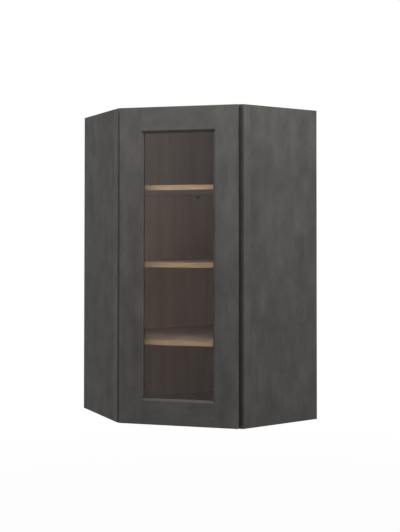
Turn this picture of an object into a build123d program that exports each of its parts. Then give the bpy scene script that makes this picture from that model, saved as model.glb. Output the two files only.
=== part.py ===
from build123d import *
import os
from math import cos, radians, sin, sqrt, tan

# Diagonal corner wall cabinet with one glass door.
#
# Room frame: the origin is where the two walls meet, at the cabinet's underside. One wall lies along
# +X (the plane y = 0), the other along -Y (the plane x = 0), and Z is up. All sizes are millimetres.
# Pieces of the diagonal front are drawn in a front frame, where X runs to the viewer's right along
# the front, Y runs into the cabinet from the face frame's front plane, and Z is up.
# The cabinet is the same on both sides of the diagonal, so a left piece is often a mirrored right one.

# Carcass
wall_length = 609.6  # along each wall, from the corner
side_depth = 298.5  # of each side, from its wall to the diagonal front
cabinet_height = 1066.8
side_thickness = 12.7
deck_thickness = 15.9  # top and bottom panel
back_thickness = 9.5
housing_depth = 5.0  # how far decks and backs are let into their neighbours
wall_rail_thickness = 15.9
wall_rail_height = 76.2
cleat_width = 45.0

# Screw holes to the walls
wall_screw_spacing = 406.4
wall_screw_first = 101.6  # from the corner
wall_screw_radius = 2.5

# Face frame
frame_thickness = 19.05
frame_width = 38.1
frame_edge_round = 0.8
pocket_angle = 15.0
pocket_radius = 4.75
pocket_setback = 16.0  # from the joint to the shoulder that the screw's head sits on
pocket_screw_spacing = 18.0
pocket_screw_length = 32.0

# Shelves
shelf_count = 3
shelf_thickness = 15.9
shelf_clearance = 1.5
shelf_setback = 8.0  # behind the face frame
shelf_edge_thickness = 1.0
pin_hole_radius = 2.5
pin_hole_depth = 8.5
pin_hole_pitch = 32.0
pin_holes_each_way = 1  # spare holes above and below each shelf's own
pin_end_inset = 45.0  # from a side's ends to its pin columns
pin_corner_inset = 120.0  # from the back corner to a back's pin column
pin_stem_clearance = 0.05
pin_stem_length = 8.0
pin_plate_width = 9.0
pin_plate_height = 11.0
pin_plate_thickness = 1.6
pin_tab_length = 11.0
pin_tab_thickness = 1.8

# Door
door_side_reveal = 14.3
door_top_reveal = 2.4
door_bottom_reveal = 3.4
door_thickness = 19.05
door_gap = 2.6  # between the door's back and the face frame
door_stile_width = 77.5  # flat face
door_rail_width = 80.0  # flat face
door_edge_round = 1.6
sticking_width = 7.6  # bevel that slopes from the flat face down to the glass
sticking_quirk = 0.8  # small square step at the bevel's top
glass_depth = 8.6  # from the door's front to the glass
sticking_lip = 2.6  # thickness of the bevel's thin edge
rabbet_width = 10.0  # seat of the glass, from the stile's inner edge outwards
glass_thickness = 4.0
glass_clearance = 1.5
bead_width = 9.0
bead_end_gap = 0.2
bead_chamfer = 2.5
brad_radius = 0.8
brad_length = 10.0
brad_angle = 45.0  # from square to the door's back
brad_setting = 1.0  # below the bead's surface
brad_end_inset = 55.0
side_brads = 4
end_brads = 2
bumper_radius = 4.0
bumper_clearance = 0.3
bumper_inset = 22.0  # from the door's corners

# Hinges: concealed, with one pin, for a face frame
hinge_count = 3
hinge_end_inset = 110.0  # from the door's ends to the outer hinges
axis_from_edge = 6.0  # from the door's edge to the hinge pin
axis_from_back = 8.0  # from the door's back to the hinge pin
cup_radius = 17.5
cup_depth = 13.0
cup_floor = 1.0
cup_wall = 1.1  # beside the pin
cup_far_wall = 4.4  # on the other side
cup_slot_length = 7.0  # narrow end of the cup's hollow, where the arm's eye turns
cup_slot_height = 8.6
cup_hollow_height = 19.0
flange_thickness = 1.0
flange_inset = 0.5  # round the cup's rim, on the door's edge side
flange_ear_radius = 6.5
cup_screw_spacing = 45.0
cup_screw_offset = 9.5  # from the cup's centre, away from the door's edge
cup_screw_length = 13.0
pin_radius = 1.25
pin_clearance = 0.05
pin_length = 15.0
eye_radius = 2.0
eye_gap = 0.2  # between the arm's eye and the cup's wall
arm_thickness = 1.6
arm_drop = 1.2  # from the pin's centre to the arm's upper face inside the cup
arm_bend_radius = 3.6
arm_height = 15.0
arm_neck_height = 8.0
arm_neck_length = 11.0
arm_foot_end = 17.0  # behind the face frame's front plane
arm_screw_setback = 10.0  # behind the face frame's front plane
arm_screw_length = 6.0
plate_thickness = 1.5
plate_height = 46.0
plate_front_inset = 1.5  # behind the face frame's front plane
plate_tab_length = 18.0
plate_tab_height = 20.0
plate_tab_screw_inset = 6.0  # from the tab's end
plate_screw_spacing = 32.0
plate_screw_length = 18.0
tab_screw_length = 14.0
leaf_thickness = 0.6
leaf_start = 6.0  # from the hinge pin
leaf_length = 12.0
leaf_height = 12.0
leaf_gap = 0.15

# Screws
screw_radius = 1.8
screw_head_radius = 3.5
pan_head_height = 2.0
flat_head_height = 1.2

# Worked out from the sizes above
half_front = (wall_length - side_depth) / sqrt(2)
front_middle = (wall_length + side_depth) / 2
front_place = Location((front_middle, -front_middle, 0), (0, 0, 45))
diagonal_mirror = Plane(origin=(0, 0, 0), z_dir=(1, 1, 0))
inner_side = wall_length - side_thickness
inner_back = wall_rail_thickness + back_thickness
clear_height = (
    cabinet_height - 2 * deck_thickness - shelf_count * shelf_thickness
) / (shelf_count + 1)
shelf_front = frame_thickness + shelf_setback

door_half = half_front - door_side_reveal
door_low = door_bottom_reveal
door_high = cabinet_height - door_top_reveal
door_back = -door_gap
door_front = door_back - door_thickness
glass_front = door_front + glass_depth
glass_back = glass_front + glass_thickness

hinge_u = -door_half + axis_from_edge
hinge_v = door_back - axis_from_back
cup_left = -eye_radius - eye_gap - cup_wall  # cup's outer wall, measured from the hinge pin
cup_centre = cup_left + cup_radius
stile_edge = -half_front + frame_width - hinge_u  # stile's inner edge, measured from the hinge pin
frame_front = -hinge_v  # face frame's front plane, measured from the hinge pin
arm_inner = stile_edge + plate_thickness


# General helpers


def block(x, y, z):
    """Box between two limits on each axis."""
    size = [high - low for low, high in (x, y, z)]
    corner = Pos(x[0], y[0], z[0])
    return corner * Box(*size, align=(Align.MIN, Align.MIN, Align.MIN))


def prism(corners, low, high):
    """Upright prism on a plan outline."""
    return Pos(0, 0, low) * extrude(Polygon(*corners, align=None), high - low, dir=(0, 0, 1))


def rod(radius, length, start=(0, 0, 0), direction=(0, 0, 1)):
    """Round rod from a start point along a direction."""
    base = Plane(origin=start, z_dir=direction)
    return base * Cylinder(radius, length, align=(Align.CENTER, Align.CENTER, Align.MIN))


def screw(length, start, direction, head_height):
    """Screw whose flat-bottomed head sits on a surface at the start point."""
    outwards = tuple(-part for part in direction)
    shank = rod(screw_radius, length, start, direction)
    return shank + rod(screw_head_radius, head_height, start, outwards)


def pan_screw(length, start, direction):
    """Screw with a raised head."""
    return screw(length, start, direction, pan_head_height)


def flat_screw(length, start, direction):
    """Screw with a thin head."""
    return screw(length, start, direction, flat_head_height)


def mirrored(piece):
    """The same piece on the other side of the cabinet's diagonal."""
    return mirror(piece, about=diagonal_mirror)


def group(pieces):
    """Several separate solids as one node."""
    return Compound(children=[solid for piece in pieces for solid in piece.solids()])


def plan_outline(side_gap, wall_gap, front_gap):
    """Five corners of the plan, drawn in from the sides, the walls and the diagonal front."""
    outer = wall_length - side_gap
    diagonal = wall_length + side_depth - sqrt(2) * front_gap
    return [
        (wall_gap, -wall_gap),
        (outer, -wall_gap),
        (outer, outer - diagonal),
        (diagonal - outer, -outer),
        (wall_gap, -outer),
    ]


# Carcass


def deck(low):
    """Top or bottom panel: five-sided, let into both sides."""
    outline = plan_outline(side_thickness - housing_depth, 0, frame_thickness)
    return prism(outline, low, low + deck_thickness)


def right_back():
    """Back panel along the X wall, let into the side panel and both decks."""
    return block(
        (wall_rail_thickness, inner_side + housing_depth),
        (-inner_back, -wall_rail_thickness),
        (deck_thickness - housing_depth, cabinet_height - deck_thickness + housing_depth),
    )


def wall_rail(low):
    """Hanging rail behind the right back panel, flush with the wall."""
    return block((0, inner_side), (-wall_rail_thickness, 0), (low, low + wall_rail_height))


def corner_cleat(low, high):
    """Upright cleat in the back corner, between the two hanging rails."""
    return block((0, cleat_width), (-wall_rail_thickness, 0), (low, high))


def wall_screw_holes():
    """Four holes through the right back and its rails, for screws into the wall."""
    rail_middle = deck_thickness + wall_rail_height / 2
    places = [
        (x, -inner_back, z)
        for x in (wall_screw_first, wall_screw_first + wall_screw_spacing)
        for z in (rail_middle, cabinet_height - rail_middle)
    ]
    return group([rod(wall_screw_radius, inner_back, place, (0, 1, 0)) for place in places])


def right_side():
    """Side panel with its front end cut at 45 degrees to meet the face frame's back."""
    outside = plan_outline(0, 0, frame_thickness)
    inside = plan_outline(side_thickness, 0, frame_thickness)
    return prism([inside[1], outside[1], outside[2], inside[2]], 0, cabinet_height)


# Shelves and their pins


def shelf_height(index):
    """Underside of a shelf, counted from the bottom, with equal spaces between the shelves."""
    return deck_thickness + (index + 1) * clear_height + index * shelf_thickness


def shelf_outline(front_gap):
    """Plan of a shelf inside the cabinet's sides and backs."""
    return plan_outline(side_thickness + shelf_clearance, inner_back + shelf_clearance, front_gap)


def shelf(index):
    """Five-sided shelf board, behind its edge strip."""
    low = shelf_height(index)
    return prism(shelf_outline(shelf_front + shelf_edge_thickness), low, low + shelf_thickness)


def shelf_edge(index):
    """Thin strip on the front edge of a shelf."""
    low = shelf_height(index)
    front = shelf_outline(shelf_front)
    back = shelf_outline(shelf_front + shelf_edge_thickness)
    return prism([front[2], front[3], back[3], back[2]], low, low + shelf_thickness)


def pin_columns():
    """Places of the right-hand pin columns in plan, each turned so that X runs into its panel."""
    front_end = -shelf_outline(shelf_front)[2][1]
    return [
        Location((inner_side, -inner_back - pin_end_inset, 0)),
        Location((inner_side, -front_end + pin_end_inset, 0)),
        Location((inner_back + pin_corner_inset, -inner_back, 0), (0, 0, 90)),
    ]


def pin_stem_drop():
    """Height of a shelf's underside above the centre of its pins."""
    return pin_hole_radius + pin_tab_thickness / 2


def pin_holes(columns):
    """Rows of blind holes round each shelf's height."""
    holes = []
    for index in range(shelf_count):
        middle = shelf_height(index) - pin_stem_drop()
        for step in range(-pin_holes_each_way, pin_holes_each_way + 1):
            place = (0, 0, middle + step * pin_hole_pitch)
            hole = rod(pin_hole_radius, pin_hole_depth, place, (1, 0, 0))
            holes += [column * hole for column in columns]
    return group(holes)


def shelf_pin():
    """Shelf pin: a stem in its hole, a plate on the panel and a braced tab under the shelf."""
    top = pin_stem_drop()
    profile = [
        (0, top),
        (-pin_tab_length, top),
        (-pin_tab_length, top - pin_tab_thickness),
        (-pin_plate_thickness, top - pin_plate_height),
        (0, top - pin_plate_height),
    ]
    half = pin_plate_width / 2
    sketch = Plane.XZ.offset(-half) * Polygon(*profile, align=None)
    tab = extrude(sketch, pin_plate_width, dir=(0, -1, 0))
    stem = rod(pin_hole_radius - pin_stem_clearance, pin_stem_length, (0, 0, 0), (1, 0, 0))
    return tab + stem


def shelf_pins(index):
    """The six pins under one shelf."""
    lift = Pos(0, 0, shelf_height(index) - pin_stem_drop())
    right = [column * lift * shelf_pin() for column in pin_columns()]
    return group(right + [mirrored(pin) for pin in right])


# Face frame, in the front frame


def frame_stile():
    """Right stile, with its outer edge bevelled to lie in the side's plane."""
    corners = [
        (half_front, 0),
        (half_front - frame_width, 0),
        (half_front - frame_width, frame_thickness),
        (half_front + frame_thickness, frame_thickness),
    ]
    stile = prism(corners, 0, cabinet_height)
    corner = stile.edges().filter_by(Axis.Z).sort_by(Axis.Y)[:2].sort_by(Axis.X)[-1]
    return fillet(corner, frame_edge_round)


def frame_rail(low):
    """Rail between the two stiles."""
    reach = half_front - frame_width
    return block((-reach, reach), (0, frame_thickness), (low, low + frame_width))


def pocket_line(side):
    """Where a pocket screw's head sits, and the way it points towards the joint on that side."""
    slope = radians(pocket_angle)
    start_u = half_front - frame_width - pocket_setback
    start_v = frame_thickness / 2 + pocket_setback * tan(slope)
    return (side * start_u, start_v), (side * cos(slope), -sin(slope), 0)


def pocket_places():
    """The heads' seats and the directions of two slanted screws at each end of both rails."""
    places = []
    for middle in (frame_width / 2, cabinet_height - frame_width / 2):
        for side in (-1, 1):
            (u, v), direction = pocket_line(side)
            for step in (-0.5, 0.5):
                places.append(((u, v, middle + step * pocket_screw_spacing), direction))
    return places


def pocket_screws():
    """The screws that join the rails to the stiles."""
    return group([pan_screw(pocket_screw_length, *place) for place in pocket_places()])


def pockets():
    """The slanted bores that the pocket screws' heads sit in, open at the frame's back."""
    bores = []
    for start, direction in pocket_places():
        depth = frame_thickness - start[1] + pocket_radius
        outwards = tuple(-part for part in direction)
        bores.append(rod(pocket_radius, depth / sin(radians(pocket_angle)), start, outwards))
    return group(bores)


# Door, in the front frame


def member_profile(width):
    """Section of a door member: distance from its outer edge, and depth from the door's front."""
    inner = width + sticking_width
    shoulder = width - rabbet_width + sticking_width
    return [
        (0, 0),
        (width, 0),
        (width, sticking_quirk),
        (inner, glass_depth - sticking_lip),
        (inner, glass_depth),
        (shoulder, glass_depth),
        (shoulder, door_thickness),
        (0, door_thickness),
    ]


def left_door_stile():
    """Upright member with a bevelled inner edge, a rabbet for the glass and a rounded outer edge."""
    corners = [(-door_half + s, door_front + n) for s, n in member_profile(door_stile_width)]
    stile = prism(corners, door_low, door_high)
    outer = stile.faces().sort_by(Axis.X)[0].edges().sort_by(Axis.Y)[0]
    ends = stile.faces().sort_by(Axis.Y)[0].edges().filter_by(Axis.X)
    return fillet([outer, *ends], door_edge_round)


def door_rail(top):
    """Cross member whose ends are cut to the stiles' section."""
    edge, towards = (door_high, -1) if top else (door_low, 1)
    corners = [(door_front + n, edge + towards * s) for s, n in member_profile(door_rail_width)]
    reach = door_half - door_stile_width - sticking_width + rabbet_width
    sketch = Plane.YZ.offset(-reach) * Polygon(*corners, align=None)
    bar = extrude(sketch, 2 * reach, dir=(1, 0, 0))
    outer = bar.edges().filter_by(Axis.X).sort_by(Axis.Y)[:2]
    outer = outer.sort_by(Axis.Z)[-1 if top else 0]
    bar = fillet(outer, door_edge_round)
    plain = [(-door_half + s, door_front + n) for s, n in member_profile(door_stile_width)]
    cutter = prism(plain, door_low, door_high)
    return bar - cutter - mirror(cutter, about=Plane.YZ)


def rabbet_limits():
    """Half width, low and high limits of the glass's seat in the door."""
    inset = sticking_width - rabbet_width
    half = door_half - door_stile_width - inset
    return half, door_low + door_rail_width + inset, door_high - door_rail_width - inset


def glass_pane():
    """Flat glass in the door's rabbet."""
    half, low, high = rabbet_limits()
    return block(
        (-half + glass_clearance, half - glass_clearance),
        (glass_front, glass_back),
        (low + glass_clearance, high - glass_clearance),
    )


def left_bead():
    """Upright glazing bead behind the glass, chamfered towards the pane's middle."""
    half, low, high = rabbet_limits()
    bead = block((-half, -half + bead_width), (glass_back, door_back), (low, high))
    corner = bead.edges().filter_by(Axis.Z).sort_by(Axis.X)[-2:].sort_by(Axis.Y)[-1]
    return chamfer(corner, bead_chamfer)


def end_bead(top):
    """Short glazing bead between the upright ones."""
    half, low, high = rabbet_limits()
    reach = half - bead_width - bead_end_gap
    z = (high - bead_width, high) if top else (low, low + bead_width)
    bead = block((-reach, reach), (glass_back, door_back), z)
    corner = bead.edges().filter_by(Axis.X).sort_by(Axis.Y)[-2:].sort_by(Axis.Z)
    return chamfer(corner[0 if top else -1], bead_chamfer)


def spread(count, low, high):
    """Evenly spaced values from low to high, or the middle for a single one."""
    if count == 1:
        return [(low + high) / 2]
    return [low + (high - low) * step / (count - 1) for step in range(count)]


def glazing_brads():
    """Brads set into the beads' backs and slanted outwards into the door, clear of the glass."""
    half, low, high = rabbet_limits()
    edge = bead_width / 2
    run = sin(radians(brad_angle))
    starts = []
    for z in spread(side_brads, low + brad_end_inset, high - brad_end_inset):
        starts += [((-half + edge, z), (-run, 0)), ((half - edge, z), (run, 0))]
    for u in spread(end_brads, -half + brad_end_inset, half - brad_end_inset):
        starts += [((u, low + edge), (0, -run)), ((u, high - edge), (0, run))]
    brads = []
    for (u, z), (run_u, run_z) in starts:
        direction = (run_u, -cos(radians(brad_angle)), run_z)
        brads.append(rod(brad_radius, brad_length, (u, door_back - brad_setting, z), direction))
    return group(brads)


def bumpers():
    """Two soft pads on the door's back, at the corners away from the hinges."""
    thickness = door_gap - bumper_clearance
    u = door_half - bumper_inset
    places = [(u, door_back, z) for z in (door_low + bumper_inset, door_high - bumper_inset)]
    return group([rod(bumper_radius, thickness, place, (0, 1, 0)) for place in places])


# Hinges, each drawn round its own pin: X to the right, Y into the cabinet, Z up


def hinge_places():
    """Where the hinge pins stand in the front frame, from the lowest to the highest."""
    heights = spread(hinge_count, door_low + hinge_end_inset, door_high - hinge_end_inset)
    return [Location((hinge_u, hinge_v, z)) for z in heights]


def middle_block(x, y, height):
    """Box between two limits on X and Y, centred on the hinge's height."""
    return block(x, y, (-height / 2, height / 2))


def middle_rod(radius, length):
    """Upright rod centred on the hinge pin."""
    return rod(radius, length, (0, 0, -length / 2))


def cup_screw_places():
    """The two screw places on a cup's flange."""
    x = cup_centre + cup_screw_offset
    y = axis_from_back + flange_thickness
    return [(x, y, side * cup_screw_spacing / 2) for side in (-1, 1)]


def hinge_cup():
    """Cup with an eared flange, and a hollow whose narrow end holds the arm's eye."""
    rim = axis_from_back
    cup = rod(cup_radius, cup_depth, (cup_centre, rim, 0), (0, -1, 0))
    cup += rod(cup_radius - flange_inset, flange_thickness, (cup_centre, rim, 0), (0, 1, 0))
    screw_x = cup_centre + cup_screw_offset
    across = (screw_x - flange_ear_radius, screw_x + flange_ear_radius)
    cup += middle_block(across, (rim, rim + flange_thickness), cup_screw_spacing)
    for x, y, z in cup_screw_places():
        cup += rod(flange_ear_radius, flange_thickness, (x, y, z), (0, -1, 0))
    depth = (rim - cup_depth + cup_floor, rim + flange_thickness)
    near_end = cup_left + cup_wall
    slot_end = near_end + cup_slot_length
    far_end = cup_left + 2 * cup_radius - cup_far_wall
    cup -= middle_block((near_end, slot_end), depth, cup_slot_height)
    cup -= middle_block((slot_end, far_end), depth, cup_hollow_height)
    return cup - middle_rod(pin_radius, pin_length)


def hinge_pin():
    """Pin held in the cup's two slot walls."""
    return middle_rod(pin_radius, pin_length)


def hinge_spring():
    """Arched leaf on the cup's floor that bears on the arm when the door is shut."""
    floor = axis_from_back - cup_depth + cup_floor
    crest = -arm_drop - arm_thickness - leaf_gap
    low, high = leaf_start, leaf_start + leaf_length
    middle = (low + high) / 2
    under = ThreePointArc((low, floor), (middle, crest - leaf_thickness), (high, floor))
    over = ThreePointArc((high, floor + leaf_thickness), (middle, crest), (low, floor + leaf_thickness))
    right = Line(under @ 1, over @ 0)
    left = Line(over @ 1, under @ 0)
    profile = make_face([under, right, over, left])
    return Pos(0, 0, -leaf_height / 2) * extrude(profile, leaf_height, dir=(0, 0, 1))


def hinge_arm():
    """Bent arm: an eye round the pin, a narrow neck in the cup and a wider foot on the plate."""
    low = -arm_drop - arm_thickness
    outer = arm_inner + arm_thickness
    sheet = (low, low + arm_thickness)
    arm = middle_block((0, outer), sheet, arm_height)
    arm += middle_block((arm_inner, outer), (low, frame_front + arm_foot_end), arm_height)
    bends = arm.edges().filter_by(Axis.Z)
    arm = fillet(bends.sort_by_distance((outer, low, 0))[0], arm_bend_radius + arm_thickness)
    inner_corner = (arm_inner, low + arm_thickness, 0)
    arm = fillet(arm.edges().filter_by(Axis.Z).sort_by_distance(inner_corner)[0], arm_bend_radius)
    arm -= middle_block((0, arm_neck_length), sheet, arm_height)
    arm += middle_block((0, arm_neck_length), sheet, arm_neck_height)
    arm += middle_rod(eye_radius, arm_neck_height)
    return arm - middle_rod(pin_radius + pin_clearance, arm_neck_height)


def hinge_plate():
    """Plate on the stile's inner edge, with a tab that wraps behind the stile."""
    back = frame_front + frame_thickness
    web = (frame_front + plate_front_inset, back + plate_thickness)
    plate = middle_block((stile_edge, arm_inner), web, plate_height)
    tab = (arm_inner - plate_tab_length, arm_inner)
    return plate + middle_block(tab, (back, back + plate_thickness), plate_tab_height)


def cup_screws():
    """The screws through one cup's flange into the door."""
    places = cup_screw_places()
    return [flat_screw(cup_screw_length, place, (0, -1, 0)) for place in places]


def plate_screws():
    """The screws that hold one plate: two into the stile's edge and one into its back."""
    y = frame_front + frame_thickness / 2
    edge = [(arm_inner, y, side * plate_screw_spacing / 2) for side in (-1, 1)]
    screws = [pan_screw(plate_screw_length, place, (-1, 0, 0)) for place in edge]
    behind = frame_front + frame_thickness + plate_thickness
    tab = (arm_inner - plate_tab_length + plate_tab_screw_inset, behind, 0)
    return screws + [pan_screw(tab_screw_length, tab, (0, -1, 0))]


def arm_screw():
    """The screw that clamps one arm to its plate."""
    place = (arm_inner + arm_thickness, frame_front + arm_screw_setback, 0)
    return pan_screw(arm_screw_length, place, (-1, 0, 0))


def at_hinges(pieces):
    """Copies of one hinge's pieces at every hinge, as one node."""
    return group([place * piece for place in hinge_places() for piece in pieces])


# Whole cabinet


def carcass_nodes():
    """Sides, decks, backs, hanging rails and the corner cleat."""
    high = cabinet_height - deck_thickness
    blank = right_back()
    screw_holes = wall_screw_holes()
    decks = {"bottom_panel": deck(0), "top_panel": deck(high)}
    columns = pin_columns()
    side = right_side() - decks["bottom_panel"] - decks["top_panel"] - blank
    side -= pin_holes(columns[:2])
    back = blank - pin_holes(columns[2:]) - screw_holes
    nodes = {name: panel - blank - mirrored(blank) for name, panel in decks.items()}
    nodes["right_side_panel"] = side
    nodes["left_side_panel"] = mirrored(side)
    nodes["right_back_panel"] = back
    nodes["left_back_panel"] = mirrored(back) - blank
    for name, low in (("lower", deck_thickness), ("upper", high - wall_rail_height)):
        rail = wall_rail(low)
        nodes[name + "_right_wall_rail"] = rail - screw_holes
        nodes[name + "_left_wall_rail"] = mirrored(rail - screw_holes) - rail
    cleat_low = deck_thickness + wall_rail_height
    nodes["corner_cleat"] = corner_cleat(cleat_low, high - wall_rail_height)
    return nodes


def shelf_nodes():
    """Boards, edge strips and pins of the shelves, counted from the lowest."""
    nodes = {}
    for index in range(shelf_count):
        name = f"shelf_{index + 1}"
        nodes[name + "_board"] = shelf(index)
        nodes[name + "_edge"] = shelf_edge(index)
        nodes[name + "_pins"] = shelf_pins(index)
    return nodes


def frame_nodes():
    """Face frame and its joining screws, with the hinges' screw holes in the left stile."""
    joining = pocket_screws()
    stile = frame_stile()
    fixings = at_hinges(plate_screws() + [arm_screw()])
    bores = pockets()
    low_rail = frame_rail(0)
    high_rail = frame_rail(cabinet_height - frame_width)
    return {
        "frame_left_stile": mirror(stile, about=Plane.YZ) - joining - fixings,
        "frame_right_stile": stile - joining,
        "frame_bottom_rail": low_rail - bores - joining,
        "frame_top_rail": high_rail - bores - joining,
        "frame_pocket_screws": joining,
    }


def door_nodes():
    """Door members, glass, glazing beads and bumpers, with the hinges' bores in the left stile."""
    stile = left_door_stile()
    cup_bores = at_hinges([rod(cup_radius, cup_depth, (cup_centre, axis_from_back, 0), (0, -1, 0))])
    brads = glazing_brads()
    nodes = {
        "door_left_stile": stile - cup_bores - at_hinges(cup_screws()),
        "door_right_stile": mirror(stile, about=Plane.YZ),
        "door_top_rail": door_rail(True),
        "door_bottom_rail": door_rail(False),
        "left_glazing_bead": left_bead(),
        "right_glazing_bead": mirror(left_bead(), about=Plane.YZ),
        "top_glazing_bead": end_bead(True),
        "bottom_glazing_bead": end_bead(False),
    }
    nodes = {name: piece - brads for name, piece in nodes.items()}
    nodes["glazing_brads"] = brads
    nodes["glass_pane"] = glass_pane()
    nodes["door_bumpers"] = bumpers()
    return nodes


def hinge_nodes():
    """The pieces of each hinge, counted from the lowest, and the hinges' screws."""
    cup = hinge_cup()
    plate = hinge_plate()
    arm = hinge_arm() - arm_screw()
    for fixing in cup_screws():
        cup -= fixing
    for fixing in [*plate_screws(), arm_screw()]:
        plate -= fixing
    nodes = {}
    for number, place in enumerate(hinge_places(), 1):
        name = f"hinge_{number}"
        nodes[name + "_cup"] = place * cup
        nodes[name + "_pin"] = place * hinge_pin()
        nodes[name + "_spring"] = place * hinge_spring()
        nodes[name + "_arm"] = place * arm
        nodes[name + "_plate"] = place * plate
    nodes["hinge_cup_screws"] = at_hinges(cup_screws())
    nodes["hinge_plate_screws"] = at_hinges(plate_screws())
    nodes["hinge_arm_screws"] = at_hinges([arm_screw()])
    return nodes


def main():
    """Build every node and write one STEP file for each."""
    os.makedirs("parts", exist_ok=True)
    front = {**frame_nodes(), **door_nodes(), **hinge_nodes()}
    nodes = {**carcass_nodes(), **shelf_nodes()}
    nodes.update({name: front_place * piece for name, piece in front.items()})
    for name, piece in nodes.items():
        export_step(piece, f"parts/{name}.step")


if __name__ == "__main__":
    main()
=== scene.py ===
"""Looks of a diagonal corner wall cabinet with one glass door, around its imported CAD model."""

import math

import bmesh
import bpy
import numpy as np
from bpy.props import FloatProperty, FloatVectorProperty, PointerProperty
from mathutils import Matrix, Vector


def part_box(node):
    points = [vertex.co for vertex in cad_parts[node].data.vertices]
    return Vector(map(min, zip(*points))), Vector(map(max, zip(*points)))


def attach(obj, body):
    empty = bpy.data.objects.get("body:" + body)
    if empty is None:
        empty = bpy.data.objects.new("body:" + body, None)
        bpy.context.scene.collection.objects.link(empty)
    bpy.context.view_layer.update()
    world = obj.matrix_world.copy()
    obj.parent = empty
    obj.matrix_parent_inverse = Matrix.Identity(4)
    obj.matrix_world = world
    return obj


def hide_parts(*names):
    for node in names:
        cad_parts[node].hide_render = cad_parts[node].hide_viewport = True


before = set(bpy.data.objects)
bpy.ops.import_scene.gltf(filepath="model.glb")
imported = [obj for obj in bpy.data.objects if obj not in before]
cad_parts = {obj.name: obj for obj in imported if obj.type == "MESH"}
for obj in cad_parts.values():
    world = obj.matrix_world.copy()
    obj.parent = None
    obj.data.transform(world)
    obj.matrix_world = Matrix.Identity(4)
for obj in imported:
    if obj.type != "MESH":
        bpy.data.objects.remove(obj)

bl_info = {
    "name": "Corner wall cabinet",
    "version": (1, 0, 0),
    "blender": (4, 5, 0),
    "location": "3D View > Sidebar > Cabinet",
    "description": "Finishes, screws, bumpers and studio of a diagonal corner wall cabinet",
    "category": "Object",
}

# Lengths are in metres throughout.

# Directions
ACROSS_FRONT = Vector((1, 1, 0)).normalized()  # to the viewer's right along the diagonal front
OUT_OF_FRONT = Vector((1, -1, 0)).normalized()  # from the diagonal front towards the viewer
UP = Vector((0, 0, 1))
ALONG_X = Vector((1, 0, 0))
ALONG_Y = Vector((0, 1, 0))

# Faces that line the cabinet's inside
INNER_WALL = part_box("right_back_panel")[0].y  # inner face of the back panels
INNER_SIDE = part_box("right_side_panel")[0].x  # inner face of the side panels
INNER_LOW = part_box("bottom_panel")[1].z
INNER_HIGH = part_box("top_panel")[0].z
FACE_TOLERANCE = 0.00005

# CAD nodes, with the direction of their grain or the body that carries them
SIDES = ("right_side_panel", "left_side_panel")
STAINED = {
    "right_side_panel": UP,
    "left_side_panel": UP,
    "frame_left_stile": UP,
    "frame_right_stile": UP,
    "frame_top_rail": ACROSS_FRONT,
    "frame_bottom_rail": ACROSS_FRONT,
    "door_left_stile": UP,
    "door_right_stile": UP,
    "door_top_rail": ACROSS_FRONT,
    "door_bottom_rail": ACROSS_FRONT,
    "left_glazing_bead": UP,
    "right_glazing_bead": UP,
    "top_glazing_bead": ACROSS_FRONT,
    "bottom_glazing_bead": ACROSS_FRONT,
}
PLYWOOD = {
    "bottom_panel": ALONG_X,
    "top_panel": ALONG_X,
    "right_back_panel": UP,
    "left_back_panel": UP,
    "lower_right_wall_rail": ALONG_X,
    "upper_right_wall_rail": ALONG_X,
    "lower_left_wall_rail": ALONG_Y,
    "upper_left_wall_rail": ALONG_Y,
    "corner_cleat": UP,
}
SHELVES = ("shelf_1", "shelf_2", "shelf_3")
HINGES = ("hinge_1", "hinge_2", "hinge_3")
SCREWS = {
    "frame_pocket_screws": "cabinet",
    "hinge_plate_screws": "cabinet",
    "hinge_arm_screws": "cabinet",
    "hinge_cup_screws": "door",
}
FIRST_STAINED_SEED, FIRST_PLYWOOD_SEED, FIRST_SHELF_SEED = 1, 40, 60
EDGE_SEED_STEP = 10  # from a shelf board's grain to its edge's

# Wood grain: how often each pattern repeats in a metre across and along the grain
FIGURE_STRETCH = (26.0, 26.0, 1.7)
CLOUD_STRETCH = (19.0, 19.0, 10.0)
LINE_LENGTHENING = 0.02  # how often a line repeats along the grain, in parts of across it
PORE_FINENESS = 3.4  # pores to a line
PORE_RANGE = (0.63, 0.72)
FIGURE_RANGE = (0.3, 0.7)
LINE_RANGE = (0.25, 0.75)
LINE_RELIEF, PORE_RELIEF = 0.6, 0.5
SEED_STEPS = (0.731, 0.417, 1.913)

# Edge wear, painted shade in crevices, and dust
EDGE_TURN = (0.995, 0.86)  # cosine between rounded and flat normals, from no edge to full edge
WEAR_STRETCH = (60.0, 60.0, 60.0)
WEAR_RANGE = (0.35, 0.65)
OPEN_SKY = (1.0, 0.45)  # share of the sky seen, from no crevice to full crevice
SPECK_STRETCH = (340.0, 340.0, 340.0)
SPECK_RANGE = (0.4, 0.75)
SETTLED = (0.2, 1.0, 0.15, 1.0)  # upward facing of a face, and the dust that lies there
MARK_STRETCH = (17.0, 17.0, 17.0)
MARK_RANGE = (0.4, 0.7)

# Stained finish
STAIN_PATTERNS = {"Lines": 0.18, "Clouds": 0.6, "Figure": 0.22}  # share of each in the paleness
STAIN_PORES, STAIN_EDGES = 0.35, 0.22  # how strongly pores and rubbed edges show
PORE_SHADE, EDGE_SHADE, PAINTED_SHADE_TONE = 0.6, 1.5, 0.15  # in parts of the deep or the pale stain; the last is the tone of the painted shade in crevices
FRONT_GLOSS, SIDE_GLOSS = 0.1, 0.06
STAIN_ROUNDING = 0.0016
STAIN_DUST = 0.05
STAIN_SHEEN_RANGE = (-0.05, 0.06)  # added to the roughness between clean and fingered places
STAIN_RELIEF = (0.00012, 0.5)  # depth, and strength from 0 to 1
DOOR_PAINTED_SHADE = (0.05, 0.85)  # reach, and share of the painted shade that darkens crevices
SIDE_PAINTED_SHADE = (0.03, 0.1)
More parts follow.
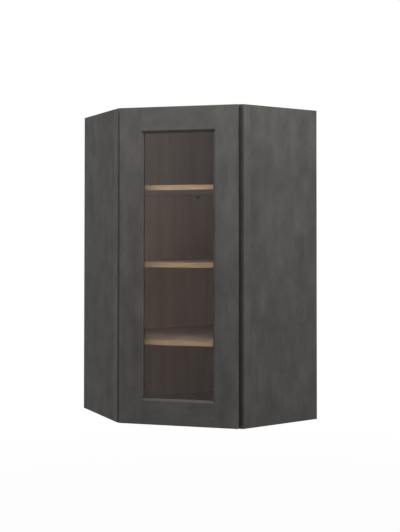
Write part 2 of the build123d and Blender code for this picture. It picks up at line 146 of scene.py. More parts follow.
# Painted shade by board: near black beside the door on the face frame's right stile and rails, none on its
# left stile
PAINTED_SHADE_BY_BOARD = {
    "frame_left_stile": (0.03, 0.0),
    "frame_right_stile": (0.03, 0.97),
    "frame_top_rail": (0.03, 0.97),
    "frame_bottom_rail": (0.03, 0.97),
}

# Lacquered and bare wood
NATURAL_PATTERNS = {"Lines": 0.3, "Clouds": 0.2, "Figure": 0.5}
NATURAL_PORES, NATURAL_EDGES = 0.25, 0.3
PORE_COLOUR = (0.12, 0.07, 0.035, 1.0)
NATURAL_GLOSS = 0.35
NATURAL_ROUNDING = 0.0006
NATURAL_DUST = 0.08
NATURAL_SHEEN_RANGE = (-0.04, 0.1)
NATURAL_RELIEF = (0.0001, 0.4)

# Plated steel
SCRATCH_RANGE = (0.3, 0.7)
SCRATCH_SHADES = (0.86, 1.0)
SCRATCH_SHEEN = 0.07
SCRATCH_RELIEF = (0.00002, 0.3)
SCRATCHED_SHADE = 0.6  # in parts of the plating's colour
STEEL_EDGES = 0.5
STEEL_EDGE_COLOUR = (0.78, 0.77, 0.75, 1.0)
STEEL_ROUNDING = 0.0004
STEEL_DUST = 0.1
SPRING_SHADE = 0.7

# Dust by what it lies on
DARK_DUST = (0.3, 0.29, 0.27, 1.0)
WOOD_DUST = (0.5, 0.48, 0.44, 1.0)
GLASS_DUST = (0.7, 0.7, 0.68, 1.0)
PLASTIC_DUST = (0.4, 0.38, 0.35, 1.0)

# Glass and clear plastic
GLASS_BENDING = 1.25  # low index of refraction, which keeps the pane's reflections faint
GLASS_DUST_AMOUNT = 0.02
GLASS_ROUGHNESS = (0.0, 0.015)
PLASTIC_COLOUR = (0.82, 0.82, 0.8, 1.0)
PLASTIC_CLEARNESS = 0.7
PLASTIC_BENDING = 1.45
PLASTIC_DUST_AMOUNT = 0.2
PLASTIC_ROUGHNESS = (0.22, 0.34)

# Shapes of screws and bumpers
RING_SIDES = 32  # points on each ring
THREAD_STEPS = 6  # rings to a turn of the thread
POINT_LENGTH = 2.0  # length of a screw's point, in parts of its shank's radius
HEAD_RINGS = 14
HEAD_BAND = 0.9  # share of the head's radius beyond which a point belongs to the head
DOME_RINGS = 9
WALL_SHARE = 0.25  # upright part of a bumper's thickness
BLADE_SHARE = 0.16  # half width of a cross recess's arm, in parts of the head's radius
BLADE_FLANK = 0.09  # width of the recess's sloping flanks, in parts of the head's radius
FLAT_CROWN, PAN_CROWN = 0.12, 0.45  # share by which a head is lower at its rim
FLAT_HEAD_LIMIT = 0.0016  # heads thinner than this are flat ones
SHARP_ANGLE = math.radians(35)
NEARLY_UPRIGHT = 0.9
PLACE_DECIMALS = 6  # places that agree so far are one
MERGE_DISTANCE = 1e-7

# Studio: each lamp's place, the point that it looks at, and its width
LAMPS = {
    "right": ((2.6, 0.1, 2.2), (0.6, -0.15, 0.55), 1.8),
    "corner": ((1.5, -0.7, 2.1), (0.6, -0.35, 1.0), 0.8),
    "left": ((0.3, -2.2, 2.8), (0.2, -0.6, 0.9), 1.2),
    "back": ((-1.7, 1.7, 1.7), (0.2, -0.2, 0.5), 2.0),
    "haze": ((1.55, -3.3, 1.45), (0.42, -0.5, 1.0), 2.4),
}
HAZE_SPREAD = math.radians(24)
FLOOR_REACH = 60.0
FLOOR_FADE = (1.5, 6.0, 0.95, 1.0)  # distance from the middle, and how white the floor is seen
FLOOR_ROUGHNESS = 0.9
SENSOR_WIDTH = 36  # in millimetres
WHITE = (1, 1, 1, 1)


class CabinetWood(bpy.types.PropertyGroup):
    """Colours and gloss of the cabinet's wood."""

    stain_pale: FloatVectorProperty(
        name="Stain, pale grain", description="Grey stain where the grain takes least of it",
        subtype="COLOR", size=3, min=0, max=1, default=(0.1088, 0.1052, 0.0995))
    stain_deep: FloatVectorProperty(
        name="Stain, deep grain", description="Grey stain where the grain takes most of it",
        subtype="COLOR", size=3, min=0, max=1, default=(0.0572, 0.0556, 0.0521))
    stain_roughness: FloatProperty(
        name="Stain roughness", description="Roughness of the clear coat over the stain",
        subtype="FACTOR", min=0, max=1, default=0.5)
    natural_pale: FloatVectorProperty(
        name="Lining, pale grain", description="Lacquered wood inside the cabinet, pale grain",
        subtype="COLOR", size=3, min=0, max=1, default=(0.535, 0.388, 0.31))
    natural_deep: FloatVectorProperty(
        name="Lining, deep grain", description="Lacquered wood inside the cabinet, deep grain",
        subtype="COLOR", size=3, min=0, max=1, default=(0.4, 0.275, 0.205))
    bare_pale: FloatVectorProperty(
        name="Bare wood, pale grain",
        description="Unfinished outsides of decks, backs and rails, pale grain",
        subtype="COLOR", size=3, min=0, max=1, default=(0.6, 0.45, 0.29))
    bare_deep: FloatVectorProperty(
        name="Bare wood, deep grain",
        description="Unfinished outsides of decks, backs and rails, deep grain",
        subtype="COLOR", size=3, min=0, max=1, default=(0.47, 0.335, 0.2))
    edge_pale: FloatVectorProperty(
        name="Shelf edge, pale grain", description="Solid wood edges of the shelves, pale grain",
        subtype="COLOR", size=3, min=0, max=1, default=(0.36, 0.235, 0.127))
    edge_deep: FloatVectorProperty(
        name="Shelf edge, deep grain", description="Solid wood edges of the shelves, deep grain",
        subtype="COLOR", size=3, min=0, max=1, default=(0.27, 0.166, 0.082))
    natural_roughness: FloatProperty(
        name="Natural wood roughness", description="Roughness of the unstained wood",
        subtype="FACTOR", min=0, max=1, default=0.42)
    grain_spacing: FloatProperty(
        name="Grain spacing", description="Distance between the fine lines of the grain",
        unit="LENGTH", min=0.0005, max=0.02, default=0.0032)


class CabinetFittings(bpy.types.PropertyGroup):
    """Sizes and colours of the glass, the hinges and the small fittings."""

    glass_colour: FloatVectorProperty(
        name="Glass colour", description="Tint of the pane",
        subtype="COLOR", size=3, min=0, max=1, default=(0.93, 0.935, 0.93))
    steel_colour: FloatVectorProperty(
        name="Nickel colour", description="Nickel plating of hinges and shelf pins",
        subtype="COLOR", size=3, min=0, max=1, default=(0.62, 0.6, 0.57))
    zinc_colour: FloatVectorProperty(
        name="Zinc colour", description="Zinc plating of the screws and brads",
        subtype="COLOR", size=3, min=0, max=1, default=(0.55, 0.56, 0.58))
    thread_pitch: FloatProperty(
        name="Thread pitch", description="Distance between the threads of the wood screws",
        unit="LENGTH", min=0.0008, max=0.003, default=0.0016)
    thread_depth: FloatProperty(
        name="Thread depth", description="Depth of the threads below the shank's radius",
        unit="LENGTH", min=0.0001, max=0.001, default=0.0005)
    recess_reach: FloatProperty(
        name="Recess reach", description="Half length of the cross recess in the screw heads",
        unit="LENGTH", min=0.001, max=0.003, default=0.0021)
    recess_depth: FloatProperty(
        name="Recess depth", description="Depth of the cross recess, in parts of the head's height",
        subtype="FACTOR", min=0, max=0.95, default=0.8)


class CabinetStudio(bpy.types.PropertyGroup):
    """Camera, lamps and floor."""

    camera_place: FloatVectorProperty(
        name="Camera place", description="Where the camera stands in the cabinet's frame",
        subtype="TRANSLATION", unit="LENGTH", size=3, default=(3.0584, -1.8388, 0.6416))
    camera_turn: FloatProperty(
        name="Camera turn", description="Direction the camera looks in, from +X towards +Y",
        subtype="ANGLE", default=math.radians(148.116))
    camera_tilt: FloatProperty(
        name="Camera tilt", description="How far the camera looks above the horizon",
        subtype="ANGLE", default=math.radians(0.973))
    camera_lens: FloatProperty(
        name="Camera lens", description="Focal length on a 36 mm sensor",
        subtype="DISTANCE_CAMERA", default=59.557)
    camera_shift: FloatVectorProperty(
        name="Camera shift", description="Shift of the frame, in parts of its longer side",
        size=2, default=(-0.07403, -0.08991))
    floor_height: FloatProperty(
        name="Floor height", description="Height of the floor, which is below the hung cabinet",
        unit="LENGTH", default=-1.35)
    floor_colour: FloatVectorProperty(
        name="Floor colour", description="Colour of the floor",
        subtype="COLOR", size=3, min=0, max=1, default=(0.9, 0.9, 0.9))
    room_light: FloatProperty(
        name="Room light", description="Strength of the even light from all round",
        min=0, max=2, default=0.05)
    right_power: FloatProperty(
        name="Right power", description="Power of the lamp beside the right side",
        unit="POWER", min=0, default=56)
    corner_power: FloatProperty(
        name="Corner power", description="Power of the lamp before the right front corner",
        unit="POWER", min=0, default=14.4)
    left_power: FloatProperty(
        name="Left power", description="Power of the lamp beside the left side",
        unit="POWER", min=0, default=42)
    back_power: FloatProperty(
        name="Back power", description="Power of the lamp behind the cabinet",
        unit="POWER", min=0, default=60)
    haze_power: FloatProperty(
        name="Haze power", description="Power of the faint lamp that the top of the pane reflects",
        unit="POWER", min=0, default=0.45)


# Node helpers

MIX_COLOUR_INPUTS, MIX_COLOUR_OUTPUT = (0, 6, 7), 2  # sockets of a Mix node set to colours


def new_node(tree, kind, inputs=None, **settings):
    """Adds a node, sets its settings and its inputs, and links those inputs that are sockets."""
    node = tree.nodes.new(kind)
    for name, value in settings.items():
        setattr(node, name, value)
    for name, value in (inputs or {}).items():
        fill(tree, node.inputs[name], value)
    return node


def fill(tree, socket, value):
    """Links an input to a socket, or sets it to a value."""
    if isinstance(value, bpy.types.NodeSocket):
        tree.links.new(value, socket)
    else:
        socket.default_value = value


def math_node(tree, operation, *values):
    """The result of a Math node on two or three values."""
    return new_node(
        tree, "ShaderNodeMath", dict(enumerate(values)), operation=operation).outputs[0]


def vector_node(tree, operation, inputs):
    """A Vector Math node."""
    return new_node(tree, "ShaderNodeVectorMath", inputs, operation=operation)


def blend_colours(tree, share, first, second):
    """A colour mixed from two others by a share from 0 to 1."""
    inputs = dict(zip(MIX_COLOUR_INPUTS, (share, first, second)))
    return new_node(tree, "ShaderNodeMix", inputs, data_type="RGBA").outputs[MIX_COLOUR_OUTPUT]


def tinted(tree, colour, mask, share, other):
    """A colour with another laid over it by a mask times a share."""
    return blend_colours(tree, math_node(tree, "MULTIPLY", mask, share), colour, other)


def remap(tree, value, low, high, to_low=0.0, to_high=1.0):
    """A value stretched from one range to another and held inside it."""
    inputs = {"Value": value, "From Min": low, "From Max": high, "To Min": to_low, "To Max": to_high}
    return new_node(tree, "ShaderNodeMapRange", inputs, clamp=True).outputs["Result"]


def weighted(tree, patterns, shares):
    """The sum of some patterns times their shares."""
    total = 0.0
    for label, share in shares.items():
        total = math_node(tree, "MULTIPLY_ADD", patterns[label], share, total)
    return total


def noise(tree, vector, stretch, detail, roughness=0.55, distortion=0.0):
    """Noise whose cells are stretched along the three axes, as a value round one half."""
    scaled = vector_node(tree, "MULTIPLY", {0: vector, 1: stretch}).outputs[0]
    inputs = {"Vector": scaled, "Scale": 1.0, "Detail": detail, "Roughness": roughness,
              "Distortion": distortion}
    return new_node(tree, "ShaderNodeTexNoise", inputs).outputs["Fac"]


def toned(colour, factor=1.0):
    """A colour property as four numbers, made darker or paler by a factor."""
    return (*(factor * part for part in colour), 1.0)


# Effects that the materials share, as node groups


def new_group(name, inputs, outputs, vector_outputs=()):
    """A shader node group with named sockets, and its input and output nodes. An input without a
    value is a vector."""
    group = bpy.data.node_groups.new(name, "ShaderNodeTree")
    for label, value in inputs.items():
        kind = "NodeSocketVector" if value is None else "NodeSocketFloat"
        socket = group.interface.new_socket(label, in_out="INPUT", socket_type=kind)
        if value is not None:
            socket.default_value = value
    for label in (*outputs, *vector_outputs):
        kind = "NodeSocketVector" if label in vector_outputs else "NodeSocketFloat"
        group.interface.new_socket(label, in_out="OUTPUT", socket_type=kind)
    return group, group.nodes.new("NodeGroupInput").outputs, group.nodes.new("NodeGroupOutput").inputs


def put_out(group, made, **results):
    """Links results to a group's outputs."""
    for label, socket in results.items():
        group.links.new(socket, made[label])


def grain_group():
    """Wood grain that runs along Z: broad figure, fine lines, cloudy stain and short pores."""
    group, given, made = new_group(
        "Wood grain",
        {"Vector": None, "Seed": 0.0, "Line Spacing": 0.003},
        ("Figure", "Lines", "Clouds", "Pores", "Height"))
    shift = new_node(group, "ShaderNodeCombineXYZ", {
        axis: math_node(group, "MULTIPLY", given["Seed"], step)
        for axis, step in zip("XYZ", SEED_STEPS)}).outputs[0]
    placed = vector_node(group, "ADD", {0: given["Vector"], 1: shift}).outputs[0]
    figure = noise(group, placed, FIGURE_STRETCH, detail=3.0, roughness=0.5, distortion=0.6)
    clouds = noise(group, placed, CLOUD_STRETCH, detail=4.0, roughness=0.6)
    fineness = math_node(group, "DIVIDE", 1.0, given["Line Spacing"])
    narrow = new_node(group, "ShaderNodeCombineXYZ", {
        "X": fineness, "Y": fineness,
        "Z": math_node(group, "MULTIPLY", fineness, LINE_LENGTHENING)}).outputs[0]
    lines = noise(group, placed, narrow, detail=3.0, roughness=0.6)
    pore_stretch = vector_node(group, "SCALE", {0: narrow, "Scale": PORE_FINENESS}).outputs[0]
    pores = remap(group, noise(group, placed, pore_stretch, detail=1.0), *PORE_RANGE)
    height = math_node(
        group, "SUBTRACT", math_node(group, "MULTIPLY", lines, LINE_RELIEF),
        math_node(group, "MULTIPLY", pores, PORE_RELIEF))
    put_out(group, made, Figure=remap(group, figure, *FIGURE_RANGE), Lines=remap(group, lines, *LINE_RANGE),
            Clouds=remap(group, clouds, *FIGURE_RANGE), Pores=pores, Height=height)
    return group


def wear_group():
    """Normals that round the edges off, and a mask of the edges, where a finish is rubbed thin."""
    group, given, made = new_group(
        "Edge wear", {"Vector": None, "Radius": 0.001}, ("Edges",), vector_outputs=("Rounded",))
    rounded = new_node(group, "ShaderNodeBevel", {"Radius": given["Radius"]}, samples=6).outputs[0]
    flat = new_node(group, "ShaderNodeNewGeometry").outputs["Normal"]
    near = vector_node(group, "DOT_PRODUCT", {0: rounded, 1: flat}).outputs["Value"]
    edge = remap(group, near, *EDGE_TURN)
    patches = remap(group, noise(group, given["Vector"], WEAR_STRETCH, detail=3.0), *WEAR_RANGE)
    put_out(group, made, Edges=math_node(group, "MULTIPLY", edge, patches), Rounded=rounded)
    return group


def painted_shade_group():
    """Mask of narrow places that light hardly reaches, where shade is painted into the colour."""
    group, given, made = new_group("Crevices", {"Reach": 0.02}, ("Crevices",))
    open_sky = new_node(
        group, "ShaderNodeAmbientOcclusion", {"Distance": given["Reach"]}, samples=8).outputs["AO"]
    put_out(group, made, Crevices=remap(group, open_sky, *OPEN_SKY))
    return group


def dust_group():
    """Mask of fine dust, denser where a face looks up, and mask of cloudy finger marks."""
    group, given, made = new_group("Dust", {"Vector": None, "Amount": 0.2}, ("Dust", "Marks"))
    facing = new_node(group, "ShaderNodeSeparateXYZ", {0: new_node(
        group, "ShaderNodeNewGeometry").outputs["Normal"]}).outputs["Z"]
    settled = remap(group, facing, *SETTLED)
    specks = remap(
        group, noise(group, given["Vector"], SPECK_STRETCH, detail=4.0, roughness=0.7), *SPECK_RANGE)
    dust = math_node(group, "MULTIPLY", math_node(group, "MULTIPLY", specks, settled), given["Amount"])
    marks = remap(group, noise(group, given["Vector"], MARK_STRETCH, detail=3.0), *MARK_RANGE)
    put_out(group, made, Dust=dust, Marks=marks)
    return group


def inside_group():
    """Mask of the faces that line the cabinet's inside, from their place alone."""
    names = ("Wall Face", "Side Face", "Low Face", "High Face")
    group, given, made = new_group(
        "Inside faces", {"Vector": None, **dict.fromkeys(names, 0.0)}, ("Inside",))
    place = new_node(group, "ShaderNodeSeparateXYZ", {0: given["Vector"]}).outputs
    from_x_wall = math_node(group, "MULTIPLY", place["Y"], -1.0)
    inside = 1.0
    for distance, above, below in (
        (place["X"], "Wall Face", "Side Face"),
        (from_x_wall, "Wall Face", "Side Face"),
        (place["Z"], "Low Face", "High Face"),
    ):
        for comparison, limit in (("GREATER_THAN", above), ("LESS_THAN", below)):
            test = math_node(group, comparison, distance, given[limit])
            inside = math_node(group, "MULTIPLY", inside, test)
    put_out(group, made, Inside=inside)
    return group


def effect(tree, name, build, **inputs):
    """Places a shared effect group in a material, and builds the group the first time."""
    node = tree.nodes.new("ShaderNodeGroup")
    node.node_tree = bpy.data.node_groups.get(name) or build()
    for label, value in inputs.items():
        fill(tree, node.inputs[label.replace("_", " ")], value)
    return node.outputs


# Materials


def new_material(name, **constants):
    """A material with a Principled shader, its object coordinates and its constant inputs set."""
    material = bpy.data.materials.new(name)
    material.use_nodes = True
    tree = material.node_tree
    shader = tree.nodes["Principled BSDF"]
    for label, value in constants.items():
        shader.inputs[label.replace("_", " ")].default_value = value
    place = tree.nodes.new("ShaderNodeTexCoord").outputs["Object"]
    return material, tree, shader.inputs, place


def coat(tree, shader, colour, roughness):
    """Links a colour and a roughness to the shader."""
    tree.links.new(colour, shader["Base Color"])
    tree.links.new(roughness, shader["Roughness"])


def emboss(tree, shader, height, relief, rounded):
    """Gives the shader a relief of some depth and strength over normals that round the edges."""
    depth, strength = relief
    bump = new_node(tree, "ShaderNodeBump", {
        "Height": height, "Distance": depth, "Strength": strength, "Normal": rounded})
    tree.links.new(bump.outputs[0], shader["Normal"])


def around(middle, offsets):
    """Both ends of a range, given as offsets from its middle."""
    return [middle + offset for offset in offsets]


def wood_grain(tree, place, grain, seed):
    """The grain's patterns on object coordinates turned so that the grain's direction becomes Z."""
    side = ALONG_X if grain == UP else UP.cross(grain)
    turn = Matrix((side.cross(grain).normalized(), side.normalized(), grain)).to_euler()
    board = new_node(tree, "ShaderNodeMapping", {"Vector": place, "Rotation": turn}).outputs[0]
    spacing = bpy.context.scene.cabinet_wood.grain_spacing
    return effect(tree, "Wood grain", grain_group, Vector=board, Seed=seed, Line_Spacing=spacing)


def paint_nodes(names, material):
    """Gives CAD nodes one material."""
    for name in names:
        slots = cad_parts[name].data.materials
        slots.clear()
        slots.append(material)


def lined_inside(tree, place, depth, colour):
    """A board's colour, with the lacquered lining's where the board faces the cabinet's inside."""
    wood = bpy.context.scene.cabinet_wood
    inside = effect(
        tree, "Inside faces", inside_group, Vector=place,
        Wall_Face=-INNER_WALL - FACE_TOLERANCE, Side_Face=INNER_SIDE + FACE_TOLERANCE,
        Low_Face=INNER_LOW - FACE_TOLERANCE, High_Face=INNER_HIGH + FACE_TOLERANCE)["Inside"]
    lining = blend_colours(tree, depth, toned(wood.natural_deep), toned(wood.natural_pale))
    return blend_colours(tree, inside, colour, lining)


def stained_wood(name, grain, seed):
    """Grey stained wood under a satin coat, with shade painted into its crevices; a side panel's inner face
    is left pale.
    """
    wood = bpy.context.scene.cabinet_wood
    is_side = name in SIDES
    material, tree, shader, place = new_material(
        name, Specular_IOR_Level=SIDE_GLOSS if is_side else FRONT_GLOSS)
    figure = wood_grain(tree, place, grain, seed)
    worn = effect(tree, "Edge wear", wear_group, Vector=place, Radius=STAIN_ROUNDING)
    dust = effect(tree, "Dust", dust_group, Vector=place, Amount=STAIN_DUST)
    depth = weighted(tree, figure, STAIN_PATTERNS)
    colour = blend_colours(tree, depth, toned(wood.stain_deep), toned(wood.stain_pale))
    colour = tinted(tree, colour, figure["Pores"], STAIN_PORES, toned(wood.stain_deep, PORE_SHADE))
    colour = tinted(tree, colour, worn["Edges"], STAIN_EDGES, toned(wood.stain_pale, EDGE_SHADE))
    # Painted shade: crevices, and the strips beside the door, darken towards an almost black stain
    reach, share = PAINTED_SHADE_BY_BOARD.get(name, SIDE_PAINTED_SHADE if is_side else DOOR_PAINTED_SHADE)
    shade_mask = effect(tree, "Crevices", painted_shade_group, Reach=reach)["Crevices"]
    colour = tinted(tree, colour, shade_mask, share, toned(wood.stain_deep, PAINTED_SHADE_TONE))
    if is_side:
        colour = lined_inside(tree, place, depth, colour)
    colour = blend_colours(tree, dust["Dust"], colour, DARK_DUST)
    sheen = around(wood.stain_roughness, STAIN_SHEEN_RANGE)
    coat(tree, shader, colour, remap(tree, dust["Marks"], 0, 1, *sheen))
    emboss(tree, shader, figure["Height"], STAIN_RELIEF, worn["Rounded"])
    return material


def natural_wood(name, grain, seed, pale, deep):
    """Pale wood with fine grain; a plywood panel's inner face has the lining's lacquer."""
    wood = bpy.context.scene.cabinet_wood
    material, tree, shader, place = new_material(name, Specular_IOR_Level=NATURAL_GLOSS)
    figure = wood_grain(tree, place, grain, seed)
    worn = effect(tree, "Edge wear", wear_group, Vector=place, Radius=NATURAL_ROUNDING)
    dust = effect(tree, "Dust", dust_group, Vector=place, Amount=NATURAL_DUST)
    depth = weighted(tree, figure, NATURAL_PATTERNS)
    colour = blend_colours(tree, depth, toned(deep), toned(pale))
    if name in PLYWOOD:
        colour = lined_inside(tree, place, depth, colour)
    colour = tinted(tree, colour, figure["Pores"], NATURAL_PORES, PORE_COLOUR)
    colour = tinted(tree, colour, worn["Edges"], NATURAL_EDGES, toned(deep))
    colour = blend_colours(tree, dust["Dust"], colour, WOOD_DUST)
    sheen = around(wood.natural_roughness, NATURAL_SHEEN_RANGE)
    coat(tree, shader, colour, remap(tree, dust["Marks"], 0, 1, *sheen))
    emboss(tree, shader, figure["Height"], NATURAL_RELIEF, worn["Rounded"])
    return material


def plated_steel(name, colour, roughness, scratch):
    """Plated steel with fine scratches, stretched along the pressing, and worn edges."""
    material, tree, shader, place = new_material(name, Metallic=1.0)
    worn = effect(tree, "Edge wear", wear_group, Vector=place, Radius=STEEL_ROUNDING)
    dust = effect(tree, "Dust", dust_group, Vector=place, Amount=STEEL_DUST)
    scratches = noise(tree, place, scratch, detail=3.0, roughness=0.6)
    shade = remap(tree, scratches, *SCRATCH_RANGE, *SCRATCH_SHADES)
    plating = blend_colours(tree, shade, toned(colour, SCRATCHED_SHADE), toned(colour))
    plating = tinted(tree, plating, worn["Edges"], STEEL_EDGES, STEEL_EDGE_COLOUR)
    plating = blend_colours(tree, dust["Dust"], plating, DARK_DUST)
    sheen = around(roughness, (-SCRATCH_SHEEN, SCRATCH_SHEEN))
    coat(tree, shader, plating, remap(tree, scratches, *SCRATCH_RANGE, *sheen))
    emboss(tree, shader, scratches, SCRATCH_RELIEF, worn["Rounded"])
    return material


def clear_material(name, dust_amount, colour, dust_colour, roughness, **constants):
    """A clear material with a little dust, and finger marks that change its roughness."""
    material, tree, shader, place = new_material(name, Metallic=0.0, **constants)
    dust = effect(tree, "Dust", dust_group, Vector=place, Amount=dust_amount)
    dusty = blend_colours(tree, dust["Dust"], colour, dust_colour)
    coat(tree, shader, dusty, remap(tree, dust["Marks"], 0, 1, *roughness))
    return material


# Surfaces worked out with numpy


def loose_solids(node):
    """Places of the points of each separate solid in a CAD node. Points at one place count as one, and
    the two ends of every edge get the lower of their two labels until no label changes."""
    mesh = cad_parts[node].data
    places = np.empty(3 * len(mesh.vertices), np.float32)
    mesh.vertices.foreach_get("co", places)
    places = places.reshape(-1, 3).round(PLACE_DECIMALS)
    places, merged = np.unique(places, axis=0, return_inverse=True)
    ends = np.empty(2 * len(mesh.edges), np.int32)
    mesh.edges.foreach_get("vertices", ends)
    ends = merged.ravel()[ends].reshape(-1, 2)
    labels, before = np.arange(len(places)), None
    while not np.array_equal(labels, before):
        before = labels.copy()
        for end in ends.T:
            np.minimum.at(labels, end, before[ends].min(1))
    return [places[labels == label] for label in np.unique(labels)]


def solid_axes(solid):
    """Middle of a turned solid, and its own axes from the one it spreads along most to the least."""
    middle = (solid.min(0) + solid.max(0)) / 2
    return middle, np.linalg.svd(solid - solid.mean(0), full_matrices=False)[2]


def ring_angles():
    """The evenly spaced angles of a ring's points."""
    return np.linspace(0, 2 * math.pi, RING_SIDES, endpoint=False)


def turned_rings(radii, heights):
    """Closed surface of rings round Z: ring r has the points (radius * cos a, radius * sin a, height)
    at evenly spaced angles a, where radius and height depend on the ring and may depend on a."""
    angle = ring_angles()
    return np.stack(np.broadcast_arrays(radii * np.cos(angle), radii * np.sin(angle), heights), -1)


def screw_rings(shank, length, head, rise, crown):
    """Rings of a wood screw along Z. Its head sits on height 0 and its point is at -length.

    Shank: at depth d and angle a the radius is (shank - thread depth * f * w), where
    w = (1 - cos(2 pi d / pitch + a)) / 2 winds the thread, and f fades it out under the head. The
    last two radii of its length narrow to a point. Head: at a share s of the head's radius the
    height is rise * (1 - crown * s**2), less a cross whose two arms are as wide as a driver's blade."""
    fittings = bpy.context.scene.cabinet_fittings
    angle = ring_angles()
    steps = int(length / fittings.thread_pitch * THREAD_STEPS)
    depth = np.linspace(length, 0, steps)[:, None]
    winding = (1 - np.cos(2 * math.pi * depth / fittings.thread_pitch + angle)) / 2
    fade = np.clip(depth / shank - 1, 0, 1)
    point = np.clip((length - depth) / (POINT_LENGTH * shank), 0, 1)
    lower = turned_rings(point * (shank - fittings.thread_depth * fade * winding), -depth)
    share = np.append(1.0, np.linspace(1, 0, HEAD_RINGS))[:, None]
    height = rise * (1 - crown * share**2)
    height[0] = 0
    across, along = head * share * np.cos(angle), head * share * np.sin(angle)
    arms = [
        np.clip((BLADE_SHARE * head - np.abs(one)) / (BLADE_FLANK * head), 0, 1)
        * np.clip((fittings.recess_reach - np.abs(other)) / (BLADE_FLANK * head), 0, 1)
        for one, other in ((across, along), (along, across))]
    sunk = fittings.recess_depth * rise * np.maximum(*arms)
    return np.concatenate((lower, turned_rings(head * share, height - sunk)))


def bumper_rings(radius, thickness):
    """Rings of a soft bumper: an upright wall under a dome. With w for the wall's share of the
    thickness, the height at a share s of the radius is thickness * (w + (1 - w) * sqrt(1 - s**4))."""
    share = np.append(np.array([0, 1]), np.sin(np.linspace(math.pi / 2, 0, DOME_RINGS)))[:, None]
    height = thickness * (WALL_SHARE + (1 - WALL_SHARE) * np.sqrt(np.clip(1 - share**4, 0, 1)))
    height[:2] = 0
    return turned_rings(radius * share, height)


def placed_rings(rings, origin, upwards):
    """Rings whose origin and Z are carried to a place and a direction."""
    upwards = Vector(upwards)
    upright = abs(upwards.z) > NEARLY_UPRIGHT
    side = (upwards.orthogonal() if upright else UP.cross(upwards)).normalized()
    return rings @ np.array((side, upwards.cross(side), upwards)) + np.array(origin)


def screw_at(solid):
    """Rings of a screw that fills one plain CAD screw, with its measures taken from it."""
    middle, axes = solid_axes(solid)
    along = (solid - middle) @ axes[0]
    away = np.linalg.norm(np.cross(solid - middle, axes[0]), axis=1)
    head = away.max()
    is_head = away > HEAD_BAND * head
    upwards = axes[0] if along[is_head].mean() > 0 else -axes[0]
    along = (solid - middle) @ upwards
    seat, top = along[is_head].min(), along[is_head].max()
    shank = away[~is_head].max()
    crown = FLAT_CROWN if top - seat < FLAT_HEAD_LIMIT else PAN_CROWN
    rings = screw_rings(shank, seat - along.min(), head, top - seat, crown)
    return placed_rings(rings, middle + seat * upwards, upwards)


def bumper_at(solid):
    """Rings of a bumper that fills one plain CAD bumper and bulges towards the face frame."""
    middle, axes = solid_axes(solid)
    upwards = axes[2] if Vector(axes[2]).dot(OUT_OF_FRONT) < 0 else -axes[2]
    thickness = np.ptp(solid @ upwards)
    radius = np.linalg.norm(np.cross(solid - middle, upwards), axis=1).max()
    return placed_rings(bumper_rings(radius, thickness), middle - thickness / 2 * upwards, upwards)


def ring_mesh(name, rings):
    """A mesh whose faces join each point of a ring to the next one and to the next ring."""
    count, sides = rings.shape[:2]
    row, side = np.meshgrid(np.arange(count - 1), np.arange(sides), indexing="ij")
    after = (side + 1) % sides
    quads = np.stack((row * sides + side, row * sides + after,
                      (row + 1) * sides + after, (row + 1) * sides + side), -1)
    mesh = bpy.data.meshes.new(name)
    mesh.from_pydata(rings.reshape(-1, 3).tolist(), [], quads.reshape(-1, 4).tolist())
    return mesh


def fitted_piece(node, body, rings_at, material):
    """Makes a piece of rings that stands for every solid of one CAD node and moves with its body."""
    whole = bmesh.new()
    for solid in loose_solids(node):
        mesh = ring_mesh(node, rings_at(solid))
        whole.from_mesh(mesh)
        bpy.data.meshes.remove(mesh)
    bmesh.ops.remove_doubles(whole, verts=whole.verts, dist=MERGE_DISTANCE)
    bmesh.ops.recalc_face_normals(whole, faces=whole.faces)
    joined = bpy.data.meshes.new(node + "_fitted")
    whole.to_mesh(joined)
    whole.free()
    joined.materials.append(material)
    joined.shade_smooth()
    joined.set_sharp_from_angle(angle=SHARP_ANGLE)
    piece = bpy.data.objects.new(node + "_fitted", joined)
    bpy.context.scene.collection.objects.link(piece)
    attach(piece, body)
    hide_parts(node)


# Studio


def seen_rays(tree):
    """1 for what the camera sees, straight, in a reflection or through glass, and 0 for other light."""
    rays = tree.nodes.new("ShaderNodeLightPath").outputs
    return math_node(tree, "MAXIMUM", rays["Is Camera Ray"], math_node(
        tree, "MAXIMUM", rays["Is Glossy Ray"], rays["Is Transmission Ray"]))


def make_floor(studio):
    """Plain pale floor, far below the cabinet, which is seen almost white."""
    corners = [(-1, -1), (1, -1), (1, 1), (-1, 1)]
    mesh = bpy.data.meshes.new("floor")
    mesh.from_pydata(
        [(FLOOR_REACH * x, FLOOR_REACH * y, studio.floor_height) for x, y in corners], [], [(0, 1, 2, 3)])
    floor = bpy.data.objects.new("floor", mesh)
    bpy.context.scene.collection.objects.link(floor)
    material, tree, shader, place = new_material(
        "floor", Roughness=FLOOR_ROUGHNESS, Specular_IOR_Level=0.0)
    shader["Base Color"].default_value = toned(studio.floor_colour)
    away = vector_node(tree, "LENGTH", {0: place}).outputs["Value"]
    seen = math_node(tree, "MULTIPLY", seen_rays(tree), remap(tree, away, *FLOOR_FADE))
    white = new_node(tree, "ShaderNodeEmission", {"Color": WHITE, "Strength": 1.0}).outputs[0]
    plain = tree.nodes["Principled BSDF"].outputs[0]
    mix = new_node(tree, "ShaderNodeMixShader", {0: seen, 1: plain, 2: white})
    tree.links.new(mix.outputs[0], tree.nodes["Material Output"].inputs["Surface"])
    mesh.materials.append(material)


